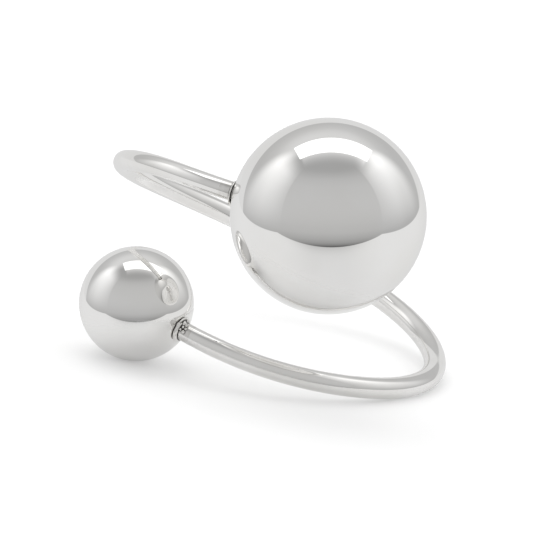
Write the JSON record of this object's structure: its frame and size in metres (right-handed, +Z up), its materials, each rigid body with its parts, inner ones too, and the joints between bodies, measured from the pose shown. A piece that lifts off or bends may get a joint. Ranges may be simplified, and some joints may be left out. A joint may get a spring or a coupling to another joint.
{
  "type": "open wire finger ring with ball ends",
  "caption": "Open spiral finger ring of round polished silver wire, with a large hollow ball at its upper end and a smaller hollow ball at its lower end.",
  "frame": {"origin": "on the resting surface, under the middle of the ring's box", "axes": "+Z up and along the finger to within 1 degree, -Y towards the front with both balls, +X towards the wire's low right side"},
  "size_m": [0.0198, 0.0246, 0.015],
  "materials": {
    "silver": "polished"
  },
  "bodies": {
    "root": {"ring": "silver"}
  },
  "joints": []
}
